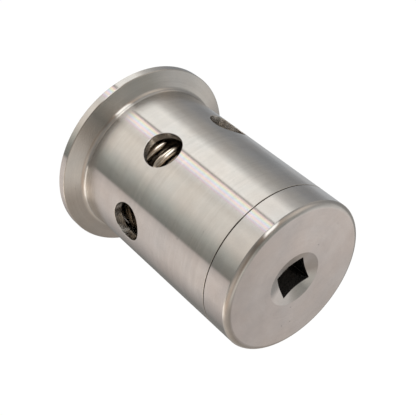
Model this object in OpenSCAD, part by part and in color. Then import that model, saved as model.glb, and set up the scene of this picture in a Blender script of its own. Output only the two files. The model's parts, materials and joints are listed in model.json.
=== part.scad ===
// Spring-loaded relief valve for a sanitary clamp ferrule.
// Millimetres. Z runs along the valve, up from the ferrule's sealing face to the end cap.

/* [Ferrule] */
// Diameter of the clamp flange
flange_d = 50.5; // [50:0.1:51]
// Height of the flange's straight rim
rim_h = 2.2; // [2:0.1:2.6]
// Slope of the flange's back, in degrees
flange_slope = 20; // [18:1:22]
// Middle diameter of the gasket groove
gasket_groove_d = 43.5; // [43.3:0.1:43.7]
// Radius of the gasket groove's round bottom
gasket_groove_r = 1.6; // [1.5:0.05:1.7]
// Depth of the gasket groove
gasket_groove_depth = 1.4; // [1.2:0.1:1.5]
// Diameter of the inlet recess
inlet_d = 32; // [31:0.5:34]

/* [Barrel] */
// Outside diameter of the barrel and the end cap
barrel_d = 40.5; // [40.4:0.1:40.8]
// Inside diameter of the spring chamber
chamber_d = 36.4; // [36.2:0.1:36.6]
// Height of the joint between barrel and end cap
joint_z = 53; // [52.9:0.1:53.1]
// Overall height of the valve
total_h = 61.2; // [60:0.1:63]
// Radius where the flange's back meets the barrel
root_r = 1.5; // [1:0.1:2]
// Number of vent windows
window_count = 6; // [4:1:6]
// Diameter of a vent window
window_d = 9.8; // [8:0.1:10.5]
// Height of the window centres
window_z = 22.5; // [21:0.1:24]

/* [Seat and poppet] */
// Bore of the seat insert
seat_bore_d = 21; // [20.5:0.1:21.2]
// Height of the sealing lip
seat_z = 7; // [6.9:0.05:7.1]
// How far the poppet lifts
poppet_lift = 5; // [3:0.5:5]
// Diameter of the guide stem
stem_d = 6; // [5.8:0.1:6.2]
// Radial clearance of the stem in its bush
stem_gap = 0.05; // [0.02:0.01:0.08]

/* [Spring] */
// Wire diameter
wire_d = 3; // [2.8:0.1:3]
// Outside diameter of the coils
spring_d = 32; // [31.8:0.1:32.2]
// Number of active turns between the two closed end turns
active_turns = 8; // [7:1:8]
// Direction in which the wire's lower tip lies, in degrees
spring_tip_turn = -62; // [-180:1:180]

/* [End cap] */
// Width across the flats of the square drive
drive_w = 8; // [7.8:0.1:8.2]
// Turn of the square drive, in degrees
drive_turn = -8; // [-45:1:45]
// Diameter of the countersink around the square drive
countersink_d = 14.5; // [13:0.1:16]
// Included angle of the countersink, in degrees
countersink_angle = 146; // [140:1:150]
// Radius of the cap's outer edge
cap_edge_r = 1.5; // [1:0.1:2]
// Outside diameter of the cap's thread
thread_d = 37.8; // [37.7:0.05:37.85]
// Pitch of the cap's thread
thread_pitch = 1.5; // [1.4:0.1:1.5]
// Length of the threaded spigot
spigot_h = 10; // [9.5:0.5:10]

/* [Hidden] */
$fn = 96;
e = 0.01;                 // overshoot of a cut
touch = 0.15;             // edge break where barrel and cap meet

// Ferrule and floor
flange_r = flange_d / 2;
rim_break = 0.25;
slope = tan(flange_slope);
barrel_r = barrel_d / 2;
inlet_r = inlet_d / 2;
inlet_h = 2.5;
floor_z = 6;
insert_step_z = 4;
insert_boss_r = 12.5;
insert_flange_r = 14.5;
chamber_r = chamber_d / 2;
chamber_corner_r = 1;
thread_bore_r = thread_d / 2 + 0.05;
thread_bore_z = joint_z - spigot_h - 2;
bore_break = 0.25;

// Seat insert
seat_bore_r = seat_bore_d / 2;
seat_lip_w = 1;
insert_lead = 1;
seat_oring_r = 0.6;

// Poppet stack, from the nozzle upwards
washer_z = 5.2;
washer_h = 0.8;
washer_r = 4.4;
screw_r = 2.5;
screw_head_r = 4.75;
screw_head_h = 2.75;
screw_tip_z = 13.5;
screw_hex_w = 3;
screw_hex_h = 1.6;
clear_r = 2.7;
retainer_r = seat_bore_r - 0.7;
retainer_hub_r = 8;
retainer_h = 1;
seal_h = 2;
seal_r = 13.2;
disc_r = 15;
disc_z = seat_z + seal_h;
disc_h = 2.5;
skirt_z = seat_z + 0.8;
cup_h = 1;
cup_r = spring_d / 2 + 0.2;
spring_z = disc_z + disc_h + cup_h;
spigot_r = 4;
collar_r = 6;
collar_h = 2;
tap_z = 13.8;
stem_r = stem_d / 2;
stem_top = joint_z - 3;
stem_tip = 0.8;

// Spring: closed end turns rise one wire a turn, the active turns share the rest
wire_r = wire_d / 2;
coil_r = spring_d / 2 - wire_r;
thrust_h = 1;
spring_top = joint_z - thrust_h - cup_h;
spring_h = spring_top - spring_z;
active_pitch = (spring_h - 2 * wire_d) / active_turns;
turns = active_turns + 2;
turn_steps = 20;
wire_sides = 8;
centring_r = coil_r - wire_r - 0.3;
centring_w = 1.5;
centring_h = 1.8;

// Upper seat
hub_r = 7.5;
bush_r = 5;
bush_flange_r = 6.5;
bush_flange_h = 1;
hub_z = spring_top - (poppet_lift + 4);
bush_top = spring_top + 0.5;
thrust_bore_r = 6.2;

// Cap
thread_r = thread_d / 2;
thread_root_r = thread_r - 0.9;
spigot_bore_r = 16.5;
spigot_z = joint_z - spigot_h;
undercut_h = 1.8;
undercut_r = thread_r - 1.15;
cap_seal_r = 0.58;
cap_seal_z = joint_z - undercut_h / 2;
thread_turns = floor((spigot_h - undercut_h - 0.4) / thread_pitch);
countersink_slope = 1 / tan(countersink_angle / 2);
pellet_r = 1.2;
pellet_z = joint_z - 5.9;
pellet_turn = 90;

// A solid of revolution from a half section in (r, z)
module turned() {
    rotate_extrude() children();
}

// A plain ring
module ring(inner, outer, z0, z1) {
    translate([0, 0, z0])
        difference() {
            cylinder(r = outer, h = z1 - z0);
            translate([0, 0, -e]) cylinder(r = inner, h = z1 - z0 + 2 * e);
        }
}

// A ring of round section
module oring(middle_r, section_r, z) {
    translate([0, 0, z])
        rotate_extrude()
            translate([middle_r, 0]) circle(r = section_r);
}

// ---- Housing ----

slope_z = rim_h + (flange_r - barrel_r) * slope;
root_centre = [barrel_r + root_r, rim_h + (flange_r - barrel_r - root_r) * slope + root_r / cos(flange_slope)];
root_foot = root_centre - root_r * [sin(flange_slope), cos(flange_slope)];

// Small inside radius between the sloping flange back and the barrel
module root_fillet() {
    difference() {
        polygon([[barrel_r - 0.5, slope_z - 0.5], root_foot, root_centre, [barrel_r - 0.5, root_centre[1]]]);
        translate(root_centre) circle(r = root_r);
    }
}

module body_section() {
    difference() {
        union() {
            polygon([
                [inlet_r, 0],
                [flange_r - rim_break, 0],
                [flange_r, rim_break],
                [flange_r, rim_h - rim_break],
                [flange_r - rim_break, rim_h + rim_break * slope],
                [barrel_r, slope_z],
                [barrel_r, joint_z - touch],
                [barrel_r - touch, joint_z],
                [thread_bore_r + bore_break, joint_z],
                [thread_bore_r, joint_z - bore_break],
                [thread_bore_r, thread_bore_z],
                [chamber_r, thread_bore_z - (thread_bore_r - chamber_r)],
                [chamber_r, floor_z + chamber_corner_r],
                [chamber_r - chamber_corner_r, floor_z],
                [insert_flange_r, floor_z],
                [insert_flange_r, insert_step_z],
                [insert_boss_r, insert_step_z],
                [insert_boss_r, inlet_h],
                [inlet_r, inlet_h]
            ]);
            root_fillet();
        }
        translate([gasket_groove_d / 2, gasket_groove_depth - gasket_groove_r])
            circle(r = gasket_groove_r);
    }
}

module valve_body() {
    color([0.74, 0.72, 0.69])
    difference() {
        turned() body_section();
        for (i = [0 : window_count - 1])
            rotate([0, 0, -90 + i * 360 / window_count])
                translate([chamber_r - 3, 0, window_z])
                    rotate([0, 90, 0]) cylinder(d = window_d, h = barrel_r - chamber_r + 6);
    }
}

// Nozzle pressed into the floor, with the raised lip the poppet seals on
module seat_insert() {
    groove_low = (insert_step_z + floor_z) / 2 - seat_oring_r;
    groove_high = groove_low + 2 * seat_oring_r;
    groove_r = insert_flange_r - 2 * seat_oring_r;
    color([0.80, 0.79, 0.77])
    turned()
        polygon([
            [seat_bore_r + insert_lead, inlet_h],
            [insert_boss_r, inlet_h],
            [insert_boss_r, insert_step_z],
            [insert_flange_r, insert_step_z],
            [insert_flange_r, groove_low],
            [groove_r, groove_low],
            [groove_r, groove_high],
            [insert_flange_r, groove_high],
            [insert_flange_r, floor_z],
            [seat_bore_r + seat_lip_w + 0.6, floor_z],
            [seat_bore_r + seat_lip_w, seat_z],
            [seat_bore_r, seat_z],
            [seat_bore_r, inlet_h + insert_lead]
        ]);
}

module seat_oring() {
    color([0.12, 0.12, 0.13])
    oring(insert_flange_r - seat_oring_r, seat_oring_r, (insert_step_z + floor_z) / 2);
}

// ---- Poppet ----

module poppet_disc() {
    edge = 0.5;
    color([0.76, 0.75, 0.73])
    turned()
        polygon([
            [spigot_r, disc_z],
            [seal_r, disc_z],
            [seal_r, skirt_z],
            [disc_r - edge, skirt_z],
            [disc_r, skirt_z + edge],
            [disc_r, disc_z + disc_h - edge],
            [disc_r - edge, disc_z + disc_h],
            [spigot_r, disc_z + disc_h]
        ]);
}

module poppet_seal() {
    color([0.92, 0.91, 0.87])
    ring(retainer_hub_r, seal_r, seat_z, disc_z);
}

module seal_retainer() {
    edge = 0.4;
    low = seat_z - retainer_h;
    color([0.78, 0.77, 0.75])
    turned()
        polygon([
            [clear_r, low],
            [retainer_r - edge, low],
            [retainer_r, low + edge],
            [retainer_r, seat_z],
            [retainer_hub_r, seat_z],
            [retainer_hub_r, disc_z],
            [clear_r, disc_z]
        ]);
}

// Button-head screw that clamps the seal stack to the stem
module retaining_screw() {
    head_low = washer_z - screw_head_h;
    dome_r = 2;
    color([0.66, 0.66, 0.67])
    difference() {
        union() {
            translate([0, 0, washer_z - e]) cylinder(r = screw_r, h = screw_tip_z - washer_z + e);
            turned()
                intersection() {
                    union() {
                        translate([0, head_low + dome_r]) square([screw_head_r, screw_head_h - dome_r]);
                        translate([0, head_low]) square([screw_head_r - dome_r, screw_head_h]);
                        translate([screw_head_r - dome_r, head_low + dome_r]) circle(r = dome_r);
                    }
                    translate([0, head_low]) square([screw_head_r, screw_head_h]);
                }
        }
        translate([0, 0, head_low - e])
            cylinder(d = screw_hex_w / cos(30), h = screw_hex_h + e, $fn = 6);
    }
}

module lock_washer() {
    slit_w = 0.6;
    color([0.60, 0.60, 0.62])
    difference() {
        ring(clear_r, washer_r, washer_z, washer_z + washer_h);
        rotate([0, 0, 40])
            translate([0, -slit_w / 2, washer_z - e]) cube([washer_r + 1, slit_w, washer_h + 2 * e]);
    }
}

module stem() {
    edge = 0.4;
    color([0.82, 0.81, 0.79])
    turned()
        polygon([
            [screw_r, disc_z],
            [spigot_r, disc_z],
            [spigot_r, spring_z],
            [collar_r, spring_z],
            [collar_r, spring_z + collar_h - edge],
            [collar_r - edge, spring_z + collar_h],
            [stem_r, spring_z + collar_h],
            [stem_r, stem_top - stem_tip],
            [stem_r - stem_tip, stem_top],
            [0, stem_top],
            [0, tap_z],
            [screw_r, tap_z]
        ]);
}

// Spring cup: a plate with a short ring that centres the end turn
module lower_spring_cup() {
    color([0.70, 0.70, 0.71])
    union() {
        ring(spigot_r, cup_r, spring_z - cup_h, spring_z);
        ring(centring_r - centring_w, centring_r, spring_z - e, spring_z + centring_h);
    }
}

// ---- Spring ----

// Rise of the wire's centre after t turns
function rise(t) =
    t < 1 ? t * wire_d :
    t > turns - 1 ? spring_h - (turns - t) * wire_d :
    wire_d + (t - 1) * active_pitch;

// One ring of points round the wire; the ends are ground flat
function wire_ring(t) = [
    for (k = [0 : wire_sides - 1])
        let (
            a = (k + 0.5) * 360 / wire_sides,
            r = coil_r + wire_r * cos(a),
            z = rise(t) + wire_r * sin(a),
            turn = spring_tip_turn - 360 * t
        )
        [r * cos(turn), r * sin(turn), spring_z + min(max(z, 0), spring_h)]
];

module spring() {
    steps = turns * turn_steps;
    points = [for (i = [0 : steps]) each wire_ring(i / turn_steps)];
    sides = [
        for (i = [0 : steps - 1], k = [0 : wire_sides - 1])
            let (n = (k + 1) % wire_sides, a = i * wire_sides)
            [a + k, a + n, a + n + wire_sides, a + k + wire_sides]
    ];
    first = [for (k = [wire_sides - 1 : -1 : 0]) k];
    last = [for (k = [0 : wire_sides - 1]) steps * wire_sides + k];
    color([0.62, 0.60, 0.55])
    polyhedron(points = points, faces = concat(sides, [first], [last]), convexity = 10);
}

// ---- Upper spring seat ----

module upper_spring_cup() {
    color([0.70, 0.70, 0.71])
    union() {
        ring(bush_r, cup_r, spring_top, spring_top + cup_h);
        ring(bush_r, hub_r, hub_z, spring_top + e);
        ring(centring_r - centring_w, centring_r, spring_top - centring_h, spring_top + e);
    }
}

module guide_bush() {
    color([0.93, 0.92, 0.88])
    union() {
        ring(stem_r + stem_gap, bush_r, hub_z - e, bush_top);
        ring(stem_r + stem_gap, bush_flange_r, hub_z - bush_flange_h, hub_z);
    }
}

module thrust_washer() {
    color([0.72, 0.55, 0.32])
    ring(thrust_bore_r, cup_r, joint_z - thrust_h, joint_z);
}

// ---- End cap ----

// Thread flanks drawn as even grooves, with the same pitch all the way
module thread_grooves() {
    half = thread_pitch / 2;
    depth = thread_r - thread_root_r;
    for (i = [0 : thread_turns - 1])
        translate([thread_r, spigot_z + 0.4 + i * thread_pitch])
            polygon([[e, 0.1], [-depth, half - 0.1], [-depth, half + 0.1], [e, thread_pitch - 0.1]]);
}

module cap_section() {
    difference() {
        union() {
            translate([0, joint_z + touch]) square([barrel_r, total_h - joint_z - touch - cap_edge_r]);
            translate([0, joint_z + touch]) square([barrel_r - cap_edge_r, total_h - joint_z - touch]);
            translate([barrel_r - cap_edge_r, total_h - cap_edge_r]) circle(r = cap_edge_r);
            polygon([[0, joint_z], [barrel_r - touch, joint_z], [barrel_r, joint_z + touch], [0, joint_z + touch]]);
            translate([spigot_bore_r, spigot_z]) square([thread_r - spigot_bore_r, spigot_h + e]);
        }
        thread_grooves();
        translate([undercut_r, joint_z - undercut_h]) square([thread_r - undercut_r + 1, undercut_h]);
        polygon([
            [0, total_h + e],
            [countersink_d / 2, total_h + e],
            [countersink_d / 2, total_h],
            [0, total_h - countersink_d / 2 * countersink_slope]
        ]);
    }
}

module end_cap() {
    color([0.72, 0.70, 0.67])
    difference() {
        turned() cap_section();
        rotate([0, 0, drive_turn])
            translate([-drive_w / 2, -drive_w / 2, joint_z - 1]) cube([drive_w, drive_w, total_h - joint_z + 2]);
        rotate([0, 0, pellet_turn])
            translate([spigot_bore_r - 1, 0, pellet_z]) rotate([0, 90, 0]) cylinder(r = pellet_r, h = 4);
    }
}

module cap_seal() {
    color([0.12, 0.12, 0.13])
    oring(undercut_r + cap_seal_r, cap_seal_r, cap_seal_z);
}

// Nylon pellet that keeps the cap from working loose
module lock_pellet() {
    color([0.85, 0.85, 0.80])
    rotate([0, 0, pellet_turn])
        translate([spigot_bore_r + 0.1, 0, pellet_z])
            rotate([0, 90, 0]) cylinder(r = pellet_r, h = thread_r - spigot_bore_r - 0.15);
}

valve_body();
seat_insert();
seat_oring();
poppet_disc();
poppet_seal();
seal_retainer();
retaining_screw();
lock_washer();
stem();
lower_spring_cup();
spring();
upper_spring_cup();
guide_bush();
thrust_washer();
end_cap();
cap_seal();
lock_pellet();
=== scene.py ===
"""Looks of the spring-loaded relief valve: turned stainless steel in a soft light tent.

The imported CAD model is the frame, and finer meshes of the same size stand for its nodes. Lengths are in
millimetres, and MM turns them into metres.
"""
import json
import math

import bmesh
import bpy
from mathutils import Matrix, Vector


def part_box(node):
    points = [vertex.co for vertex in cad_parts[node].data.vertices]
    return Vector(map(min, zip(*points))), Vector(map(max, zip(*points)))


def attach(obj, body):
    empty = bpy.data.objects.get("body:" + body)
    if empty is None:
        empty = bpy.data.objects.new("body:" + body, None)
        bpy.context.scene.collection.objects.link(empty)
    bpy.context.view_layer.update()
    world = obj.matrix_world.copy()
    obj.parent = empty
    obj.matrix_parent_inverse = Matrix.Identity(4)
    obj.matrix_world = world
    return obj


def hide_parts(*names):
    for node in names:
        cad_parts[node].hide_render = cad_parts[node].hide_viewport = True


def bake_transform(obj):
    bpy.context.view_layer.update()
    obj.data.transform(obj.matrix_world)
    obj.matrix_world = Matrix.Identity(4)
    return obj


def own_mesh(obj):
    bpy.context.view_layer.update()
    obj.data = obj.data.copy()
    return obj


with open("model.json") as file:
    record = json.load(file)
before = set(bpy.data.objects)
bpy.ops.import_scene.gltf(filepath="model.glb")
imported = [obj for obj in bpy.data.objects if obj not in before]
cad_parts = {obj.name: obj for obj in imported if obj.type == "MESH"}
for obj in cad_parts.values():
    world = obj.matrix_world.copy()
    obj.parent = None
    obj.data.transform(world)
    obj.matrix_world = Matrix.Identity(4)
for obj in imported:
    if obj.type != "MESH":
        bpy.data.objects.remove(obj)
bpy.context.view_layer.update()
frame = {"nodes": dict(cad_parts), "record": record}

MM = 0.001


# ---------------------------------------------------------------- sizes read from the frame
def low(node):
    return Vector(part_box(node)[0]) / MM


def high(node):
    return Vector(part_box(node)[1]) / MM


FLANGE_R = high("valve_body").x
JOINT_Z = high("valve_body").z
TOTAL_H = high("end_cap").z
BARREL_R = high("end_cap").x
INSERT_R = high("seat_insert").x
INLET_H = low("seat_insert").z
SEAT_Z = high("seat_insert").z
SPRING_LOW = low("spring").z
SPRING_HIGH = high("spring").z
CUP_R = high("lower_spring_cup").x

BODIES = frame["record"]["behaviour"]["bodies"]
SLOTS = {part["node"]: part["material_slot"] for part in frame["record"]["subparts"]}

# ---------------------------------------------------------------- camera
# The camera stands off to one side of the front window, looks at a point on the axis, and is rolled over.
# Its turn is round the axis from +X, and its reach is the distance from the axis.
CAMERA_TURN = math.radians(-78.8)
CAMERA_REACH = 193.5
CAMERA_HEIGHT = 175.8
CAMERA_AIM = 29.0
CAMERA_ROLL = math.radians(129.37)
CAMERA_LENS = 84.62
CAMERA_CLIP = 10.0
SENSOR = 36.0

TOWARDS = Vector((math.cos(CAMERA_TURN), math.sin(CAMERA_TURN), 0))


def make_camera():
    eye = TOWARDS * CAMERA_REACH + Vector((0, 0, CAMERA_HEIGHT))
    ahead = (Vector((0, 0, CAMERA_AIM)) - eye).normalized()
    level = ahead.cross(Vector((0, 0, 1))).normalized()
    upright = level.cross(ahead)
    right = level * math.cos(CAMERA_ROLL) + upright * math.sin(CAMERA_ROLL)
    up = right.cross(ahead)
    data = bpy.data.cameras.new("camera")
    data.sensor_width = SENSOR
    data.lens = CAMERA_LENS
    data.clip_start = CAMERA_CLIP * MM
    camera = bpy.data.objects.new("camera", data)
    bpy.context.scene.collection.objects.link(camera)
    turn = Matrix((right, up, -ahead)).transposed().to_4x4()
    camera.matrix_world = Matrix.Translation(eye * MM) @ turn
    bpy.context.scene.camera = camera


# ---------------------------------------------------------------- node helpers
def add(tree, kind, inputs=None, **settings):
    """A shader node with its settings, and its inputs set or linked by name or number."""
    made = tree.nodes.new(kind)
    for key, value in settings.items():
        setattr(made, key, value)
    for key, value in (inputs or {}).items():
        if isinstance(value, bpy.types.NodeSocket):
            tree.links.new(value, made.inputs[key])
        else:
            made.inputs[key].default_value = value
    return made


def math_node(tree, operation, a, b=0.0):
    return add(tree, "ShaderNodeMath", {0: a, 1: b}, operation=operation).outputs[0]


def ramp(tree, factor, stops):
    """A colour ramp, where a stop is (position, colour)."""
    made = add(tree, "ShaderNodeValToRGB", {0: factor})
    elements = made.color_ramp.elements
    while len(elements) > 1:
        elements.remove(elements[-1])
    for i, (position, colour) in enumerate(stops):
        element = elements[0] if i == 0 else elements.new(position)
        element.position = position
        element.color = (*colour, 1.0)
    return made.outputs[0]


def mix_colours(tree, factor, first, second):
    """The Mix node keeps its colours at inputs 6 and 7, and their mix at output 2."""
    return add(tree, "ShaderNodeMix", {0: factor, 6: first, 7: second}, data_type="RGBA").outputs[2]


# ---------------------------------------------------------------- light tent and floor
# The tent is eight rings of soft light, one over the other, and the steel mirrors them.
# A band is (degrees round from the camera's side, brightness there, tint). A ramp holds colours up to 1, so
# the bands are divided by the gain, and the light's strength brings it back.
WORLD_GAIN = 3.0
NEUTRAL = (1.0, 0.99, 0.96)
COOL = (0.97, 1.0, 1.04)
WARM = (1.0, 0.955, 0.89)
PINK = (1.0, 0.92, 0.885)
TAN = (1.0, 0.90, 0.80)
BROWN = (1.0, 0.80, 0.64)
OLIVE = (0.98, 1.0, 0.93)
ROSE = (1.18, 0.83, 0.97)
MINT = (0.82, 1.09, 0.97)
SKY = (0.80, 0.94, 1.24)
STRAW = (1.09, 1.0, 0.68)

NADIR_BANDS = [
    (-180, 0.42, NEUTRAL), (-120, 0.80, WARM), (-60, 0.38, NEUTRAL), (0, 0.34, WARM), (60, 0.95, NEUTRAL),
    (120, 0.42, NEUTRAL), (180, 0.42, NEUTRAL),
]
# The foot's bands are stripes that lie straight along the barrel, and their degrees are the barrel's.
# From -20 to -11 degrees the tints change quickly, which gives the thin coloured streaks beside the glare.
FOOT_BANDS = [
    (-90, 0.60, COOL), (-75, 0.55, COOL), (-70, 0.40, COOL), (-62, 0.31, COOL), (-55, 0.34, COOL),
    (-46, 0.46, NEUTRAL), (-39, 0.72, NEUTRAL), (-33, 1.28, NEUTRAL), (-20.8, 1.33, NEUTRAL),
    (-20.2, 0.30, TAN), (-19.4, 0.35, MINT), (-18.8, 1.35, ROSE), (-17.6, 1.45, STRAW), (-16.6, 1.35, MINT),
    (-15.6, 1.40, SKY), (-14.6, 1.35, ROSE), (-13.6, 1.42, STRAW), (-12.7, 1.30, SKY), (-11.9, 1.02, ROSE),
    (-11, 1.00, NEUTRAL), (-7, 1.00, WARM), (-2, 1.12, WARM), (8, 1.00, WARM), (17, 0.57, OLIVE),
    (22, 0.36, OLIVE), (28.8, 0.25, OLIVE), (30.8, 0.70, PINK), (38, 0.84, PINK), (52, 0.76, PINK),
    (64, 0.48, PINK), (75, 0.25, NEUTRAL),
]
SILL_BANDS = [(0, 0.45, TAN)]
WAIST_BANDS = [
    (-180, 0.40, PINK), (-150, 0.32, NEUTRAL), (-122, 0.30, COOL), (-108, 0.45, NEUTRAL), (-90, 0.80, TAN),
    (-72, 0.70, NEUTRAL), (-44, 0.60, NEUTRAL), (-35, 2.40, NEUTRAL), (-20, 2.40, NEUTRAL), (-13, 0.25, TAN),
    (40, 0.15, WARM), (57, 0.16, WARM), (60, 1.60, WARM), (80, 2.20, WARM), (96, 2.20, WARM),
    (106, 0.90, WARM), (118, 0.60, WARM), (140, 0.50, WARM), (160, 0.45, PINK), (180, 0.40, PINK),
]
LEDGE_BANDS = [
    (-44, 0.32, NEUTRAL), (-38, 0.45, NEUTRAL), (-24, 0.45, NEUTRAL), (-18, 0.32, NEUTRAL),
    (60, 0.32, NEUTRAL), (80, 0.70, TAN), (86, 1.10, TAN), (98, 1.10, TAN), (108, 0.60, TAN),
    (120, 0.60, TAN), (150, 0.35, TAN),
]
CHEST_BANDS = [
    (-180, 0.68, PINK), (-172, 0.82, PINK), (-150, 0.72, NEUTRAL), (-112, 0.38, NEUTRAL), (-80, 0.85, TAN),
    (-60, 0.60, TAN), (-44, 0.62, BROWN), (-40, 1.90, NEUTRAL), (-22, 1.90, NEUTRAL), (-16, 0.36, BROWN),
    (0, 0.18, TAN), (20, 0.36, TAN), (44, 0.42, TAN), (60, 0.66, TAN), (85, 0.66, BROWN), (110, 0.54, TAN),
    (150, 0.34, TAN), (170, 0.48, PINK), (180, 0.68, PINK),
]
SHOULDER_BANDS = [
    (-180, 0.30, OLIVE), (-140, 0.32, OLIVE), (-90, 0.42, WARM), (-40, 0.30, BROWN), (0, 0.17, TAN),
    (50, 0.30, BROWN), (90, 0.45, TAN), (128, 0.84, WARM), (145, 0.80, WARM), (160, 0.60, OLIVE),
    (180, 0.30, OLIVE),
]
CROWN_BANDS = [
    (-180, 0.26, OLIVE), (-150, 0.38, OLIVE), (0, 0.25, OLIVE), (145, 0.55, WARM), (170, 0.40, OLIVE),
]
# (the ring, whether its bands are stripes, and the heights where it starts to show and where only it shows)
RINGS_ABOVE = [
    (FOOT_BANDS, True, -70, -55), (SILL_BANDS, False, -27, -23), (WAIST_BANDS, False, -18, -14),
    (LEDGE_BANDS, False, -5, -1), (CHEST_BANDS, False, 13, 20),
    (SHOULDER_BANDS, False, 46, 60), (CROWN_BANDS, False, 72, 84),
]


def tent_ring(tree, position, bands, whole):
    """One ring's light. The position goes from 0 to 1 over the whole degrees, and 0.5 is at 0 degrees."""
    stops = []
    for turn, value, tint in bands:
        stops.append((turn / whole + 0.5, tuple(value * part / WORLD_GAIN for part in tint)))
    return ramp(tree, position, stops)


def make_world():
    world = bpy.data.worlds.new("light_tent")
    world.use_nodes = True
    bpy.context.scene.world = world
    tree = world.node_tree
    tree.nodes.clear()
    way = add(tree, "ShaderNodeTexCoord").outputs["Generated"]
    turned_way = add(tree, "ShaderNodeVectorRotate", {"Vector": way, "Angle": -CAMERA_TURN},
                     rotation_type="Z_AXIS").outputs[0]
    x, y, z = add(tree, "ShaderNodeSeparateXYZ", {0: turned_way}).outputs
    height = math_node(tree, "ARCSINE", z)
    turn = math_node(tree, "ARCTAN2", y, x)
    # A barrel mirrors one half plane of directions at each place round it, and a stripe is such a half plane.
    camera_level = CAMERA_REACH / math.hypot(CAMERA_REACH, CAMERA_HEIGHT - CAMERA_AIM)
    stripe = math_node(tree, "ARCTAN2", y, math_node(tree, "ADD", x, camera_level))
    turn_place = math_node(tree, "ADD", math_node(tree, "DIVIDE", turn, math.tau), 0.5)
    stripe_place = math_node(tree, "ADD", math_node(tree, "DIVIDE", stripe, math.pi), 0.5)
    light = tent_ring(tree, turn_place, NADIR_BANDS, 360)
    for bands, striped, starts, ends in RINGS_ABOVE:
        shown = add(tree, "ShaderNodeMapRange",
                    {"Value": height, "From Min": math.radians(starts), "From Max": math.radians(ends)},
                    interpolation_type="SMOOTHSTEP").outputs[0]
        position, whole = (stripe_place, 180) if striped else (turn_place, 360)
        light = mix_colours(tree, shown, light, tent_ring(tree, position, bands, whole))
    tent = add(tree, "ShaderNodeBackground", {"Color": light, "Strength": WORLD_GAIN})
    backdrop = add(tree, "ShaderNodeBackground", {"Color": (1, 1, 1, 1), "Strength": 1.0})
    seen = add(tree, "ShaderNodeLightPath").outputs["Is Camera Ray"]
    either = add(tree, "ShaderNodeMixShader", {0: seen, 1: tent.outputs[0], 2: backdrop.outputs[0]})
    out = add(tree, "ShaderNodeOutputWorld")
    tree.links.new(either.outputs[0], out.inputs[0])


FLOOR_HALF = 1500
FLOOR_DROP = 0.05
PAPER = (0.8, 0.8, 0.8, 1)
PAPER_GLOW = 1.05
GLOW_SHARE = 0.95


def make_floor():
    """White glowing paper, which is clear from below."""
    data = bpy.data.meshes.new("floor")
    corners = four_corners(-FLOOR_HALF, -FLOOR_HALF, FLOOR_HALF, FLOOR_HALF)
    data.from_pydata([(x * MM, y * MM, -FLOOR_DROP * MM) for x, y in corners], [], [(0, 1, 2, 3)])
    floor = bpy.data.objects.new("floor", data)
    bpy.context.scene.collection.objects.link(floor)
    material = bpy.data.materials.new("floor_white")
    material.use_nodes = True
    tree = material.node_tree
    tree.nodes.clear()
    paper = add(tree, "ShaderNodeBsdfDiffuse", {"Color": PAPER})
    glow = add(tree, "ShaderNodeEmission", {"Color": (1, 1, 1, 1), "Strength": PAPER_GLOW})
    mix = add(tree, "ShaderNodeMixShader", {0: GLOW_SHARE, 1: paper.outputs[0], 2: glow.outputs[0]})
    below = add(tree, "ShaderNodeNewGeometry").outputs["Backfacing"]
    clear = add(tree, "ShaderNodeBsdfTransparent")
    one_sided = add(tree, "ShaderNodeMixShader", {0: below, 1: mix.outputs[0], 2: clear.outputs[0]})
    out = add(tree, "ShaderNodeOutputMaterial")
    tree.links.new(one_sided.outputs[0], out.inputs[0])
    data.materials.append(material)
    floor.visible_glossy = False


# ---------------------------------------------------------------- mesh helpers
ON_AXIS = 1e-6
SHORTEST_EDGE = 0.001
SHARP_ANGLE = 35


def section(corners, steps=6):
    """A closed outline from corners (r, z) or (r, z, rounding). A rounded corner becomes an arc."""
    points = [Vector(c[:2]) for c in corners]
    radii = [c[2] if len(c) > 2 else 0 for c in corners]
    outline = []
    for i, corner in enumerate(points):
        radius = radii[i]
        if not radius:
            outline.append(corner)
            continue
        back = (points[i - 1] - corner).normalized()
        ahead = (points[(i + 1) % len(points)] - corner).normalized()
        half = back.angle(ahead) / 2
        reach = radius / math.tan(half)
        centre = corner + (back + ahead).normalized() * radius / math.sin(half)
        start, end = corner + back * reach - centre, corner + ahead * reach - centre
        sweep = start.angle_signed(end)
        for k in range(steps + 1):
            turn = Matrix.Rotation(-sweep * k / steps, 2)
            outline.append(centre + turn @ start)
    return [(p.x, p.y) for p in outline]


def four_corners(x0, y0, x1, y1):
    """A rectangle's corners, anticlockwise."""
    return [(x0, y0), (x1, y0), (x1, y1), (x0, y1)]


def rows_between(r, z0, z1, gap):
    """Evenly spaced section points up a straight wall."""
    count = max(2, round(abs(z1 - z0) / gap))
    return [(r, z0 + (z1 - z0) * k / count) for k in range(count + 1)]


def solid(name, verts, faces):
    """An object in the scene, from its points in metres and its faces."""
    mesh = bpy.data.meshes.new(name)
    mesh.from_pydata(verts, [], faces)
    tidy_normals(mesh)
    made = bpy.data.objects.new(name, mesh)
    bpy.context.scene.collection.objects.link(made)
    return made


def turned(name, outline, steps=192, shift=None):
    """A solid of revolution about Z. shift(r, z, angle) may move the points, as a thread does."""
    verts, circles = [], []
    for r, z in outline:
        circle = []
        for j in range(steps):
            if r < ON_AXIS and circle:
                circle.append(circle[0])
                continue
            angle = math.tau * j / steps
            rr, zz = shift(r, z, angle) if shift else (r, z)
            circle.append(len(verts))
            verts.append((rr * math.cos(angle) * MM, rr * math.sin(angle) * MM, zz * MM))
        circles.append(circle)
    faces = []
    for i, circle in enumerate(circles):
        other = circles[(i + 1) % len(circles)]
        for j in range(steps):
            n = (j + 1) % steps
            face = list(dict.fromkeys((circle[j], circle[n], other[n], other[j])))
            if len(face) > 2:
                faces.append(face)
    return solid(name, verts, faces)


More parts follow.
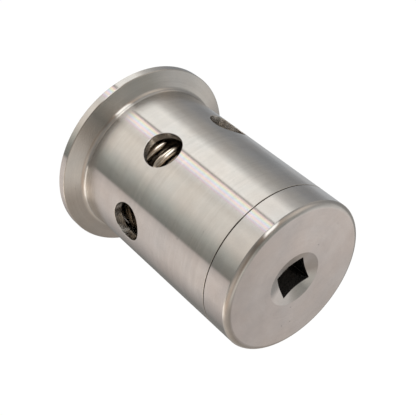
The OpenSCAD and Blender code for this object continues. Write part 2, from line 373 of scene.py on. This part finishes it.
def tidy_normals(mesh, shortest=0.0):
    """Outward normals. Edges up to the given length are closed up."""
    work = bmesh.new()
    work.from_mesh(mesh)
    if shortest:
        bmesh.ops.dissolve_degenerate(work, dist=shortest * MM, edges=work.edges)
    bmesh.ops.recalc_face_normals(work, faces=work.faces)
    work.to_mesh(mesh)
    work.free()


def cut(piece, cutters):
    """Takes the cutters away from the piece."""
    for cutter in cutters:
        modifier = piece.modifiers.new("cut", "BOOLEAN")
        modifier.operation = "DIFFERENCE"
        modifier.solver = "EXACT"
        modifier.object = cutter
    bake(piece)
    tidy_normals(piece.data, shortest=SHORTEST_EDGE)
    for cutter in cutters:
        bpy.data.objects.remove(cutter)


def bake(piece):
    """Replaces the piece's mesh by what its modifiers make of it."""
    graph = bpy.context.evaluated_depsgraph_get()
    graph.update()
    mesh = bpy.data.meshes.new_from_object(piece.evaluated_get(graph))
    piece.modifiers.clear()
    piece.data = mesh


def finish_shading(piece, sharp=SHARP_ANGLE):
    """Smooth shading that keeps flats flat and edges over the angle crisp."""
    mesh = piece.data
    mesh.polygons.foreach_set("use_smooth", [True] * len(mesh.polygons))
    mesh.set_sharp_from_angle(angle=math.radians(sharp))
    modifier = piece.modifiers.new("flats", "WEIGHTED_NORMAL")
    modifier.keep_sharp = True
    modifier.mode = "FACE_AREA"
    modifier.weight = 100
    bake(piece)


def dress(piece, node, materials):
    """The piece stands for its CAD node and takes its slot's material."""
    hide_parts(node)
    piece.data.materials.clear()
    piece.data.materials.append(materials[SLOTS[node]])


def place(piece, node, materials, sharp=SHARP_ANGLE):
    """Shades the piece, lets it ride on its CAD node's body, and dresses it for that node."""
    finish_shading(piece, sharp)
    body = next(b for b, nodes in BODIES.items() if node in nodes)
    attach(piece, body)
    dress(piece, node, materials)
    return piece


# ---------------------------------------------------------------- materials
# Scales of noise are in repeats to a millimetre.
FINE_GROOVES = 3.2
BROAD_GROOVES = 0.5
STAINS = 0.16
WARM_PATCHES = 0.11
COOLER = (0.985, 1.0, 1.02)
WARMER = (1.015, 0.985, 0.97)
# How deep the finest shapes are, and how strongly the lathe's grooves show.
SURFACE_DEPTH = 0.02
GROOVE_STRENGTH = 0.02
# The direction of the shine, as a share of a turn from the way round the axis.
BRUSHED_TURN = 0.25
# Pits lie in a few of the cells of a grid, and each fades out between two distances from its middle.
PIT_CELLS = 0.45
PIT_RARITY = 0.82
PIT_CORE = 0.03
PIT_EDGE = 0.09
# Holes and inside walls are a little duller than turned outsides, and their colour is painted with light and
# shade: lighter in the barrel's windows and chamber, darker in the square and the hexagon recess. In the
# barrel's wall they start between two depths under its skin.
HOLLOW_ROUGHNESS = 0.04
HOLLOW_MARGIN = 0.02
SKIN_INSIDE = 0.5
SKIN_OUTSIDE = 0.1
BARREL_PAINTED_LIGHT = 1.1
SQUARE_PAINTED_SHADE = 0.2
RECESS_PAINTED_SHADE = 0.3
# A little past the hexagon's corners, as a share of its width.
RECESS_REACH = 0.65


def place_in_mm(tree):
    place_m = add(tree, "ShaderNodeTexCoord").outputs["Object"]
    return add(tree, "ShaderNodeVectorMath", {0: place_m, "Scale": 1 / MM}, operation="SCALE").outputs[0]


def from_axis(tree, place_mm):
    """The place's height, its level vector from the axis, and that vector's length."""
    parts = add(tree, "ShaderNodeSeparateXYZ", {0: place_mm})
    level = add(tree, "ShaderNodeCombineXYZ", {"X": parts.outputs["X"], "Y": parts.outputs["Y"]}).outputs[0]
    reach = add(tree, "ShaderNodeVectorMath", {0: level}, operation="LENGTH").outputs["Value"]
    return parts.outputs["Z"], level, reach


def lathe_path(tree, place_mm):
    """The direction from the axis, and how far the lathe tool was fed to get here."""
    height, level, reach = from_axis(tree, place_mm)
    direction = add(tree, "ShaderNodeVectorMath", {0: level}, operation="NORMALIZE").outputs[0]
    normal = add(tree, "ShaderNodeSeparateXYZ", {0: add(tree, "ShaderNodeNewGeometry").outputs["Normal"]})
    facing = math_node(tree, "ABSOLUTE", normal.outputs["Z"])
    feed = add(tree, "ShaderNodeMix", {"Factor": facing, "A": height, "B": reach}).outputs[0]
    return direction, feed


def noise(tree, where, scale, detail, **inputs):
    inputs.update({"Vector": where, "Scale": scale, "Detail": detail})
    return add(tree, "ShaderNodeTexNoise", inputs).outputs[0]


def grooves(tree, direction, feed, scale, wander):
    """Noise drawn out round the axis and fine along the tool's feed."""
    along = add(tree, "ShaderNodeVectorMath", {0: direction, "Scale": wander}, operation="SCALE").outputs[0]
    fed = math_node(tree, "MULTIPLY", feed, scale)
    up = add(tree, "ShaderNodeCombineXYZ", {"Z": fed}).outputs[0]
    where = add(tree, "ShaderNodeVectorMath", {0: along, 1: up}, operation="ADD").outputs[0]
    return noise(tree, where, 1.0, 2.0)


def spread(tree, value, low_to, high_to, low_from=0.3, high_from=0.7):
    """Maps a value onto a new range. Noise mostly lies between 0.3 and 0.7."""
    return add(tree, "ShaderNodeMapRange", {"Value": value, "From Min": low_from, "From Max": high_from,
                                           "To Min": low_to, "To Max": high_to}).outputs[0]


def varied(tree, value, middle, share):
    """Spreads noise round a middle value, give or take a share of it."""
    return spread(tree, value, middle * (1 - share), middle * (1 + share))


def scaled(tree, colour, tone):
    return add(tree, "ShaderNodeVectorMath", {0: colour, "Scale": tone}, operation="SCALE").outputs[0]


def bump(tree, shader, height, strength):
    inputs = {"Height": height, "Strength": strength, "Distance": SURFACE_DEPTH * MM}
    tree.links.new(add(tree, "ShaderNodeBump", inputs).outputs[0], shader.inputs["Normal"])


def new_material(name, metallic):
    """A material, its node tree and its shader."""
    material = bpy.data.materials.new(name)
    material.use_nodes = True
    shader = material.node_tree.nodes["Principled BSDF"]
    shader.inputs["Metallic"].default_value = metallic
    return material, material.node_tree, shader


def pit_tone(tree, place_mm, depth):
    """1 on sound steel, and darker by the given depth in pits."""
    cells = add(tree, "ShaderNodeTexVoronoi", {"Vector": place_mm, "Scale": PIT_CELLS}, feature="F1")
    near = spread(tree, cells.outputs["Distance"], 1, 0, PIT_CORE, PIT_EDGE)
    chosen = add(tree, "ShaderNodeSeparateColor", {0: cells.outputs["Color"]}).outputs[0]
    marked = math_node(tree, "GREATER_THAN", chosen, PIT_RARITY)
    dark = math_node(tree, "MULTIPLY", math_node(tree, "MULTIPLY", near, marked), depth)
    return math_node(tree, "SUBTRACT", 1.0, dark)


def patchy_colour(tree, place_mm, colour):
    """The colour, a little cooler in some patches and warmer in others."""
    patches = noise(tree, place_mm, WARM_PATCHES, 3.0)
    cooler, warmer = [(*(part * t for part, t in zip(colour, tint)), 1) for tint in (COOLER, WARMER)]
    return mix_colours(tree, spread(tree, patches, 0, 1), cooler, warmer)


def turned_steel(name, colour, roughness, aniso=0.9, mottle=0.05, lines=0.02, pits=0.0, hollows=None):
    """Lathe-turned stainless steel: rings round the axis, faint stains, and a few pits.

    hollows(tree, place_mm) may give a tone of painted light and shade, and how dull the steel is, from 0 to
    1, in holes and inside walls.
    """
    material, tree, shader = new_material(name, 1.0)
    shader.inputs["Anisotropic"].default_value = aniso
    shader.inputs["Anisotropic Rotation"].default_value = BRUSHED_TURN
    tangent = add(tree, "ShaderNodeTangent", direction_type="RADIAL", axis="Z")
    tree.links.new(tangent.outputs[0], shader.inputs["Tangent"])

    place_mm = place_in_mm(tree)
    direction, feed = lathe_path(tree, place_mm)
    fine = grooves(tree, direction, feed, FINE_GROOVES, wander=0.5)
    broad = grooves(tree, direction, feed, BROAD_GROOVES, wander=0.8)
    stain = noise(tree, place_mm, STAINS, 4.0, Roughness=0.6)
    tone = math_node(tree, "MULTIPLY", varied(tree, stain, 1, mottle), varied(tree, broad, 1, lines))
    tone = math_node(tree, "MULTIPLY", tone, varied(tree, fine, 1, lines))
    uneven = math_node(tree, "ADD", math_node(tree, "MULTIPLY", fine, 0.6),
                       math_node(tree, "MULTIPLY", stain, 0.4))
    rough = varied(tree, uneven, roughness, 0.1)
    if pits:
        tone = math_node(tree, "MULTIPLY", tone, pit_tone(tree, place_mm, pits))
    if hollows:
        # painted light and shade: the hollows' tone lightens or darkens the steel's colour in holes and
        # inside walls
        painted_tone, dull = hollows(tree, place_mm)
        tone = math_node(tree, "MULTIPLY", tone, painted_tone)
        rough = math_node(tree, "ADD", rough, math_node(tree, "MULTIPLY", dull, HOLLOW_ROUGHNESS))
    tree.links.new(scaled(tree, patchy_colour(tree, place_mm, colour), tone), shader.inputs["Base Color"])
    tree.links.new(rough, shader.inputs["Roughness"])
    bump(tree, shader, fine, GROOVE_STRENGTH)
    return material


def hollow(tree, inside, tone):
    """What a hollows function gives: the tone of painted light and shade where inside is 1, and how dull it
    is there.
    """
    return spread(tree, inside, 1.0, tone, 0, 1), inside


def barrel_hollows(tree, place_mm):
    """Painted light in the window walls and the chamber: their colour is made lighter."""
    height, _, reach = from_axis(tree, place_mm)
    above_floor = math_node(tree, "GREATER_THAN", height, FLOOR_Z - SKIN_OUTSIDE)
    under_skin = spread(tree, reach, 1, 0, BARREL_R - SKIN_INSIDE, BARREL_R - SKIN_OUTSIDE)
    return hollow(tree, math_node(tree, "MULTIPLY", under_skin, above_floor), BARREL_PAINTED_LIGHT)


def cap_hollows(tree, place_mm):
    """Painted shade in the broached square: its walls' colour is made darker."""
    square_place = add(tree, "ShaderNodeVectorRotate", {"Vector": place_mm, "Angle": -DRIVE_TURN},
                       rotation_type="Z_AXIS").outputs[0]
    parts = add(tree, "ShaderNodeSeparateXYZ", {0: square_place})
    across = math_node(tree, "MAXIMUM", math_node(tree, "ABSOLUTE", parts.outputs["X"]),
                       math_node(tree, "ABSOLUTE", parts.outputs["Y"]))
    in_square = math_node(tree, "LESS_THAN", across, DRIVE_W / 2 + HOLLOW_MARGIN)
    return hollow(tree, in_square, SQUARE_PAINTED_SHADE)


def recess_hollows(tree, place_mm):
    """Painted shade in the screw's hexagon recess: its colour is made darker."""
    height, _, reach = from_axis(tree, place_mm)
    above_face = math_node(tree, "GREATER_THAN", height, low("retaining_screw").z + HOLLOW_MARGIN)
    in_hexagon = math_node(tree, "LESS_THAN", reach, HEX_W * RECESS_REACH)
    return hollow(tree, math_node(tree, "MULTIPLY", in_hexagon, above_face), RECESS_PAINTED_SHADE)


def plain(name, colour, roughness, metallic=0.0, grain_mm=0.4, grain=0.04, bumpiness=0.1):
    """A moulded, drawn or cast surface with a fine even grain."""
    material, tree, shader = new_material(name, metallic)
    even = noise(tree, place_in_mm(tree), 1 / grain_mm, 3.0)
    tree.links.new(scaled(tree, colour, varied(tree, even, 1, grain)), shader.inputs["Base Color"])
    tree.links.new(varied(tree, even, roughness, 0.15), shader.inputs["Roughness"])
    bump(tree, shader, even, bumpiness)
    return material


TURNED_LOOKS = {
    "barrel_steel": dict(colour=(0.62, 0.60, 0.57), roughness=0.17, aniso=1.0, mottle=0.06, lines=0.03,
                         pits=0.5, hollows=barrel_hollows),
    "cap_steel": dict(colour=(0.62, 0.60, 0.575), roughness=0.17, aniso=1.0, mottle=0.07, lines=0.016,
                      pits=0.7, hollows=cap_hollows),
    "machined_steel": dict(colour=(0.62, 0.61, 0.59), roughness=0.22),
    "fastener_steel": dict(colour=(0.50, 0.50, 0.50), roughness=0.28, aniso=0.4, hollows=recess_hollows),
}
PLAIN_LOOKS = {
    "spring_wire": dict(colour=(0.74, 0.67, 0.58), roughness=0.11, metallic=1.0, grain_mm=1.2, grain=0.08,
                        bumpiness=0.05),
    "black_rubber": dict(colour=(0.02, 0.02, 0.022), roughness=0.55),
    "white_ptfe": dict(colour=(0.80, 0.79, 0.75), roughness=0.42),
    "bronze": dict(colour=(0.62, 0.40, 0.19), roughness=0.35, metallic=1.0),
    "nylon": dict(colour=(0.72, 0.71, 0.64), roughness=0.45),
}


def make_materials():
    """Every slot's material, by the slot's name."""
    made = {name: turned_steel(name, **look) for name, look in TURNED_LOOKS.items()}
    made.update({name: plain(name, **look) for name, look in PLAIN_LOOKS.items()})
    return made


# ---------------------------------------------------------------- housing
RIM_H = 2.2
FLANGE_SLOPE = math.tan(math.radians(20))
ROOT_R = 1.5
INLET_R = 16.0
GROOVE_R = 1.6
GROOVE_MIDDLE = 21.75
GROOVE_DEPTH = 1.4
GROOVE_STEPS = 18
SEAT_RISE = 1.0
FLOOR_Z = SEAT_Z - SEAT_RISE
BOSS_R = 12.5
STEP_H = 1.5
STEP_Z = INLET_H + STEP_H
CHAMBER_R = 18.2
RUNNING_GAP = 0.05
THREAD_R = 18.9
BORE_R = THREAD_R + RUNNING_GAP
SPIGOT_H = 10.0
THREAD_RUNOUT = 2.0
THREAD_PITCH = 1.5
THREAD_DEPTH = 0.9
JOINT_BREAK = 0.10
WINDOW_R = 4.9
WINDOW_Z = 22.5
WINDOW_COUNT = 6
WINDOW_BREAK = 0.18
SEAT_BORE_R = 10.5
SEAT_FACE_W = 1.0
SEAT_SLOPE_W = 0.6
INLET_FLARE_H = 1.0
RING_GROOVE_LOW = 4.4
RING_GROOVE_HIGH = 5.6
RING_GROOVE_DEPTH = 1.2
# The window cutter goes past both sides of the wall. Its flare starts a hair under the skin, and above the
# skin it is wider than the window's rounded edge.
CUT_PAST = 3.0
FLARE_UNDER = 0.002
FLARE_ABOVE = 0.3
FLARE_PAST = 0.05


def gasket_groove():
    """Points round the groove in the ferrule face."""
    centre_z = GROOVE_DEPTH - GROOVE_R
    start = math.asin(-centre_z / GROOVE_R)
    angles = [math.pi - start - (math.pi - 2 * start) * k / GROOVE_STEPS for k in range(GROOVE_STEPS + 1)]
    return [(GROOVE_MIDDLE + GROOVE_R * math.cos(a), centre_z + GROOVE_R * math.sin(a)) for a in angles]


def window_cutter(turn, steps=160, arc_steps=5):
    """A round cutter whose rim is flared along the barrel, so that the window's edge comes out rounded.

    A loop is (radius, depth under the barrel's skin, distance from the axis), with one of the last two.
    """
    way = Vector((math.cos(turn), math.sin(turn), 0))
    side = Vector((-math.sin(turn), math.cos(turn), 0))
    loops = [(WINDOW_R, None, CHAMBER_R - CUT_PAST)]
    for k in range(arc_steps + 1):
        a = math.pi / 2 * k / arc_steps
        depth = WINDOW_BREAK * (1 - math.sin(a)) + FLARE_UNDER
        loops.append((WINDOW_R + WINDOW_BREAK * (1 - math.cos(a)), depth, None))
    flare_r = WINDOW_R + WINDOW_BREAK + FLARE_PAST
    loops += [(flare_r, -FLARE_ABOVE, None), (flare_r, None, BARREL_R + CUT_PAST)]
    verts = []
    for radius, depth, distance in loops:
        for j in range(steps):
            a = math.tau * j / steps
            across = radius * math.cos(a)
            out = distance if depth is None else math.sqrt(BARREL_R ** 2 - across ** 2) - depth
            verts.append((way * out + side * across + Vector((0, 0, WINDOW_Z + radius * math.sin(a)))) * MM)
    faces = [list(range(steps)), list(range(len(verts) - steps, len(verts)))]
    for i in range(len(loops) - 1):
        for j in range(steps):
            n = (j + 1) % steps
            faces.append([i * steps + j, i * steps + n, (i + 1) * steps + n, (i + 1) * steps + j])
    return solid("cutter", verts, faces)


def make_barrel(materials):
    slope_z = RIM_H + (FLANGE_R - BARREL_R) * FLANGE_SLOPE
    thread_end = JOINT_Z - SPIGOT_H - THREAD_RUNOUT
    outline = section(
        [(INLET_R, 0, 0.2)]
        + gasket_groove()
        + [
            (FLANGE_R, 0, 0.3),
            (FLANGE_R, RIM_H, 0.3),
            (BARREL_R, slope_z, ROOT_R),
            (BARREL_R, JOINT_Z, JOINT_BREAK),
            (BORE_R, JOINT_Z, 0.25),
            (BORE_R, thread_end),
            (CHAMBER_R, thread_end - (BORE_R - CHAMBER_R)),
            (CHAMBER_R, FLOOR_Z, 1.0),
            (INSERT_R, FLOOR_Z, 0.1),
            (INSERT_R, STEP_Z),
            (BOSS_R, STEP_Z),
            (BOSS_R, INLET_H, 0.1),
            (INLET_R, INLET_H, 0.4),
        ]
    )
    barrel = turned("barrel", outline, steps=480)
    cut(barrel, [window_cutter(math.radians(-90 + 360 / WINDOW_COUNT * i)) for i in range(WINDOW_COUNT)])
    place(barrel, "valve_body", materials)


def make_nozzle(materials):
    bore, groove_r = SEAT_BORE_R, INSERT_R - RING_GROOVE_DEPTH
    face_r = bore + SEAT_FACE_W
    outline = section([
        (face_r, INLET_H, 0.05), (BOSS_R, INLET_H, 0.1), (BOSS_R, STEP_Z), (INSERT_R, STEP_Z),
        (INSERT_R, RING_GROOVE_LOW), (groove_r, RING_GROOVE_LOW), (groove_r, RING_GROOVE_HIGH),
        (INSERT_R, RING_GROOVE_HIGH), (INSERT_R, FLOOR_Z, 0.1), (face_r + SEAT_SLOPE_W, FLOOR_Z, 0.2),
        (face_r, SEAT_Z, 0.1), (bore, SEAT_Z, 0.1), (bore, INLET_H + INLET_FLARE_H, 0.2),
    ])
    place(turned("nozzle", outline, steps=240), "seat_insert", materials)


# ---------------------------------------------------------------- end cap
SPIGOT_BORE_R = 16.5
UNDERCUT_R = 17.75
UNDERCUT_H = 1.8
# The crown's rounding meets the side at a slight angle, as a polished edge does.
CAP_EDGE_R = 1.7
CAP_EDGE_START = math.radians(18)
CAP_EDGE_STEPS = 14
JOINT_LIP = 0.9
JOINT_GAP = 0.24
COUNTERSINK_R = 7.25
COUNTERSINK_SLOPE = 1 / math.tan(math.radians(73))
# The cap is turned with a hole that is smaller than the square, which is cut afterwards.
PILOT_R = 2.0
DRIVE_W = 8.0
DRIVE_TURN = math.radians(-8)
DRIVE_CORNER = 0.25
PELLET_BELOW_JOINT = 5.9
PELLET_Z = JOINT_Z - PELLET_BELOW_JOINT
PELLET_R = 1.2
PELLET_STEPS = 48
# The thread starts over the spigot's foot, is drawn in fine rows, and fades out at its top. Its depth rises
# and falls once a pitch, held flat at the crest and the root.
THREAD_LEAD = 0.4
THREAD_ROW = 0.1
THREAD_FADE = 0.5
FLANK_GAIN = 1.3
FLANK_START = 0.15
NEARLY = 0.01


def thread(r, z, angle):
    """Cuts a right-hand V thread into the spigot, fading out at both ends."""
    low_z, high_z = JOINT_Z - SPIGOT_H + THREAD_LEAD, JOINT_Z - UNDERCUT_H
    if abs(r - THREAD_R) > NEARLY or not low_z < z < high_z:
        return r, z
    phase = ((z - low_z) / THREAD_PITCH - angle / math.tau) % 1
    flank = min(max((1 - abs(2 * phase - 1)) * FLANK_GAIN - FLANK_START, 0), 1)
    fade = min(1, (z - low_z) / THREAD_PITCH, (high_z - z) / THREAD_FADE)
    return r - THREAD_DEPTH * flank * fade, z


def prism(name, points, z0, z1):
    """An upright bar with the given outline in x and y."""
    count = len(points)
    verts = [(x * MM, y * MM, z * MM) for z in (z0, z1) for x, y in points]
    faces = [list(range(count)), list(range(count, 2 * count))]
    faces += [[i, (i + 1) % count, (i + 1) % count + count, i + count] for i in range(count)]
    return solid(name, verts, faces)


def spun(points, angle):
    c, s = math.cos(angle), math.sin(angle)
    return [(x * c - y * s, x * s + y * c) for x, y in points]


def sideways(piece):
    """Lays a piece turned about Z along Y, at the height of the locking pellet."""
    piece.data.transform(Matrix.Translation((0, 0, PELLET_Z * MM)) @ Matrix.Rotation(-math.pi / 2, 4, "X"))
    return piece


def make_cap(materials):
    edge_middle = Vector((BARREL_R - CAP_EDGE_R * math.cos(CAP_EDGE_START), TOTAL_H - CAP_EDGE_R))
    edge_z = edge_middle.y + CAP_EDGE_R * math.sin(CAP_EDGE_START)
    crown_edge = []
    for k in range(1, CAP_EDGE_STEPS + 1):
        a = CAP_EDGE_START + (math.pi / 2 - CAP_EDGE_START) * k / CAP_EDGE_STEPS
        point = edge_middle + Vector((math.cos(a), math.sin(a))) * CAP_EDGE_R
        crown_edge.append(tuple(point))
    spigot_z = JOINT_Z - SPIGOT_H
    outline = section(
        [
            (PILOT_R, JOINT_Z),
            (SPIGOT_BORE_R, JOINT_Z, 0.4),
            (SPIGOT_BORE_R, spigot_z, 0.2),
            (THREAD_R, spigot_z, 0.35),
        ]
        + rows_between(THREAD_R, spigot_z + THREAD_LEAD, JOINT_Z - UNDERCUT_H, THREAD_ROW)
        + [
            (UNDERCUT_R, JOINT_Z - UNDERCUT_H, 0.2),
            (UNDERCUT_R, JOINT_Z, 0.2),
            (BARREL_R - JOINT_LIP, JOINT_Z),
            (BARREL_R - JOINT_LIP, JOINT_Z + JOINT_GAP),
            (BARREL_R, JOINT_Z + JOINT_GAP, JOINT_BREAK),
            (BARREL_R, edge_z),
            *crown_edge,
            (COUNTERSINK_R, TOTAL_H, 0.15),
            (PILOT_R, TOTAL_H - (COUNTERSINK_R - PILOT_R) * COUNTERSINK_SLOPE),
        ],
        steps=10,
    )
    cap = turned("cap", outline, steps=360, shift=thread)
    half, past = DRIVE_W / 2, 2.0
    square = section([(*corner, DRIVE_CORNER) for corner in four_corners(-half, -half, half, half)])
    hole = four_corners(0, SPIGOT_BORE_R - 1, PELLET_R, BARREL_R)
    cut(cap, [prism("square", spun(square, DRIVE_TURN), JOINT_Z - past, TOTAL_H + past),
              sideways(turned("hole", hole, steps=PELLET_STEPS))])
    place(cap, "end_cap", materials, sharp=16)


# ---------------------------------------------------------------- spring
WIRE_R = 1.5
CUP_MARGIN = 0.2
COIL_R = CUP_R - CUP_MARGIN - WIRE_R
ACTIVE_TURNS = 8
TURNS = ACTIVE_TURNS + 2
SPRING_TIP = math.radians(-62)
SPLIT_TURN = 8.25


def rise(t):
    """Height of the wire's middle over the spring's foot after t turns."""
    height = SPRING_HIGH - SPRING_LOW
    pitch = (height - 4 * WIRE_R) / ACTIVE_TURNS
    if t < 1:
        return t * 2 * WIRE_R
    if t > TURNS - 1:
        return height - (TURNS - t) * 2 * WIRE_R
    return 2 * WIRE_R + (t - 1) * pitch


def coil(name, start, end, sides=28, per_turn=72):
    """A left-hand stretch of the spring, with its ends ground flat."""
    steps = round((end - start) * per_turn)
    top = SPRING_HIGH - SPRING_LOW
    verts, faces = [], []
    for i in range(steps + 1):
        t = start + (end - start) * i / steps
        angle = SPRING_TIP - math.tau * t
        for k in range(sides):
            a = math.tau * k / sides
            r = COIL_R + WIRE_R * math.cos(a)
            z = SPRING_LOW + min(max(rise(t) + WIRE_R * math.sin(a), 0), top)
            verts.append((r * math.cos(angle) * MM, r * math.sin(angle) * MM, z * MM))
    for i in range(steps):
        for k in range(sides):
            n = (k + 1) % sides
            faces.append([i * sides + k, i * sides + n, (i + 1) * sides + n, (i + 1) * sides + k])
    faces += [list(range(sides)), list(range(steps * sides, (steps + 1) * sides))]
    return solid(name, verts, faces)


def make_spring(materials):
    lower = place(coil("spring_lower", 0, SPLIT_TURN), "spring", materials)
    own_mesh(lower)
    upper = coil("spring_upper", SPLIT_TURN, TURNS)
    finish_shading(upper)
    dress(upper, "spring", materials)
    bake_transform(upper)


# ---------------------------------------------------------------- poppet
DISC_Z = low("stem").z
DISC_TOP = high("poppet_disc").z
SEAL_R = high("poppet_seal").x
CUP_H = 1.0
CUP_Z = DISC_TOP + CUP_H
SPIGOT_R = 4.0
HUB_R = 8.0
CLEAR_R = 2.7
WASHER_Z = low("lock_washer").z
SLIT_W = 0.6
SLIT_TURN = math.radians(40)
SCREW_R = 2.5
DOME_R = 2.0
HEX_W = 3.0
HEX_DEPTH = 1.6
TAP_Z = 13.8
STEM_R = 3.0
STEM_TIP = 0.8
COLLAR_H = 2.0
# The rings on both spring cups that keep the spring centred
CENTRING_GAP = 0.3
CENTRING_W = 1.5
CENTRING_H = 1.8
CENTRING_R = COIL_R - WIRE_R - CENTRING_GAP
CENTRING_INNER_R = CENTRING_R - CENTRING_W


def make_disc(materials):
    disc_r, skirt_z = high("poppet_disc").x, low("poppet_disc").z
    disc = section([(SPIGOT_R, DISC_Z), (SEAL_R, DISC_Z), (SEAL_R, skirt_z, 0.1), (disc_r, skirt_z, 0.5),
                    (disc_r, DISC_TOP, 0.5), (SPIGOT_R, DISC_TOP)])
    place(turned("disc", disc), "poppet_disc", materials)


def make_seal(materials):
    seal = section([(HUB_R, SEAT_Z, 0.1), (SEAL_R, SEAT_Z, 0.1), (SEAL_R, DISC_Z), (HUB_R, DISC_Z)])
    place(turned("seal", seal), "poppet_seal", materials)


def make_retainer(materials):
    plate_r, plate_z = high("seal_retainer").x, low("seal_retainer").z
    plate = section([(CLEAR_R, plate_z, 0.15), (plate_r, plate_z, 0.4), (plate_r, SEAT_Z, 0.1),
                     (HUB_R, SEAT_Z), (HUB_R, DISC_Z), (CLEAR_R, DISC_Z)])
    place(turned("retainer", plate), "seal_retainer", materials)


def make_split_washer(materials):
    outer_r, top = high("lock_washer").x, high("lock_washer").z
    outline = section([(*corner, 0.08) for corner in four_corners(CLEAR_R, WASHER_Z, outer_r, top)])
    washer = turned("split_washer", outline, steps=96)
    past = 1.0
    slit = four_corners(0, -SLIT_W / 2, outer_r + past, SLIT_W / 2)
    cut(washer, [prism("slit", spun(slit, SLIT_TURN), WASHER_Z - past, top + past)])
    place(washer, "lock_washer", materials)


def make_screw(materials):
    head_r, head_z, tip_z = high("retaining_screw").x, low("retaining_screw").z, high("retaining_screw").z
    outline = section([(0, head_z), (head_r, head_z, DOME_R), (head_r, WASHER_Z, 0.15), (SCREW_R, WASHER_Z),
                       (SCREW_R, tip_z, 0.3), (0, tip_z)], steps=12)
    screw = turned("screw", outline, steps=120)
    corner = HEX_W / 2 / math.cos(math.pi / 6)
    hexagon = [(corner * math.cos(math.pi / 3 * k), corner * math.sin(math.pi / 3 * k)) for k in range(6)]
    cut(screw, [prism("hexagon", hexagon, head_z - 1, head_z + HEX_DEPTH)])
    place(screw, "retaining_screw", materials)


def make_stem(materials):
    top, collar_r, collar_z = high("stem").z, high("stem").x, CUP_Z + COLLAR_H
    stem = section([(SCREW_R, DISC_Z, 0.15), (SPIGOT_R, DISC_Z, 0.15), (SPIGOT_R, CUP_Z), (collar_r, CUP_Z),
                    (collar_r, collar_z, 0.4), (STEM_R, collar_z, 0.3), (STEM_R, top, STEM_TIP), (0, top),
                    (0, TAP_Z), (SCREW_R, TAP_Z)])
    place(turned("guide_stem", stem, steps=96), "stem", materials)


def make_lower_cup(materials):
    ring_top = CUP_Z + CENTRING_H
    cup = section([(SPIGOT_R, DISC_TOP), (CUP_R, DISC_TOP, 0.25), (CUP_R, CUP_Z, 0.25), (CENTRING_R, CUP_Z),
                   (CENTRING_R, ring_top, 0.4), (CENTRING_INNER_R, ring_top, 0.4),
                   (CENTRING_INNER_R, CUP_Z, 0.3), (SPIGOT_R, CUP_Z)])
    place(turned("lower_cup", cup), "lower_spring_cup", materials)


# ---------------------------------------------------------------- upper spring seat
HUB_Z = low("upper_spring_cup").z
PLATE_TOP = high("upper_spring_cup").z
CUP_HUB_R = 7.5
BUSH_FLANGE_R = high("guide_bush").x
BUSH_FLANGE_W = 1.5
BUSH_R = BUSH_FLANGE_R - BUSH_FLANGE_W
BUSH_BORE_R = STEM_R + RUNNING_GAP
WASHER_BORE_R = 6.2


def make_upper_cup(materials):
    ring_z = SPRING_HIGH - CENTRING_H
    cup = section([(BUSH_R, HUB_Z, 0.1), (CUP_HUB_R, HUB_Z, 0.3), (CUP_HUB_R, SPRING_HIGH, 0.4),
                   (CENTRING_INNER_R, SPRING_HIGH, 0.3), (CENTRING_INNER_R, ring_z, 0.4),
                   (CENTRING_R, ring_z, 0.4), (CENTRING_R, SPRING_HIGH), (CUP_R, SPRING_HIGH, 0.25),
                   (CUP_R, PLATE_TOP, 0.25), (BUSH_R, PLATE_TOP)])
    place(turned("upper_cup", cup), "upper_spring_cup", materials)


def make_bush(materials):
    foot, top = low("guide_bush").z, high("guide_bush").z
    bush = section([(BUSH_BORE_R, foot, 0.2), (BUSH_FLANGE_R, foot, 0.25), (BUSH_FLANGE_R, HUB_Z),
                    (BUSH_R, HUB_Z), (BUSH_R, top, 0.2), (BUSH_BORE_R, top, 0.2)])
    place(turned("bush", bush, steps=96), "guide_bush", materials)


def make_thrust_washer(materials):
    corners = four_corners(WASHER_BORE_R, PLATE_TOP, high("thrust_washer").x, JOINT_Z)
    washer = section([(*corner, 0.15) for corner in corners])
    place(turned("bronze_washer", washer), "thrust_washer", materials)


# ---------------------------------------------------------------- seals and pellet
def make_oring(name, node, wall_r, side, materials, steps=28):
    """An O-ring against a wall: outside the wall where side is 1, and inside it where side is -1."""
    foot = low(node).z
    radius = (high(node).z - foot) / 2
    middle_r, middle_z = wall_r + side * radius, foot + radius
    angles = [math.tau * k / steps for k in range(steps)]
    outline = [(middle_r + radius * math.cos(a), middle_z + radius * math.sin(a)) for a in angles]
    place(turned(name, outline), node, materials)


def make_seat_ring(materials):
    make_oring("seat_ring", "seat_oring", INSERT_R, -1, materials)


def make_cap_ring(materials):
    make_oring("cap_ring", "cap_seal", UNDERCUT_R, 1, materials)


def make_pellet(materials):
    near, far = low("lock_pellet").y, high("lock_pellet").y
    pellet = section([(0, near), (PELLET_R, near, 0.15), (PELLET_R, far, 0.15), (0, far)])
    place(sideways(turned("pellet", pellet, steps=PELLET_STEPS)), "lock_pellet", materials)


make_camera()
make_world()
make_floor()
MATERIALS = make_materials()
for make in (make_barrel, make_nozzle, make_cap, make_spring, make_disc, make_seal, make_retainer,
             make_split_washer, make_screw, make_stem, make_lower_cup, make_upper_cup, make_bush,
             make_thrust_washer, make_seat_ring, make_cap_ring, make_pellet):
    make(MATERIALS)
for name, node in frame["nodes"].items():
    node.data.materials.clear()
    node.data.materials.append(MATERIALS[SLOTS[name]])

bpy.context.scene.view_settings.view_transform = "Standard"
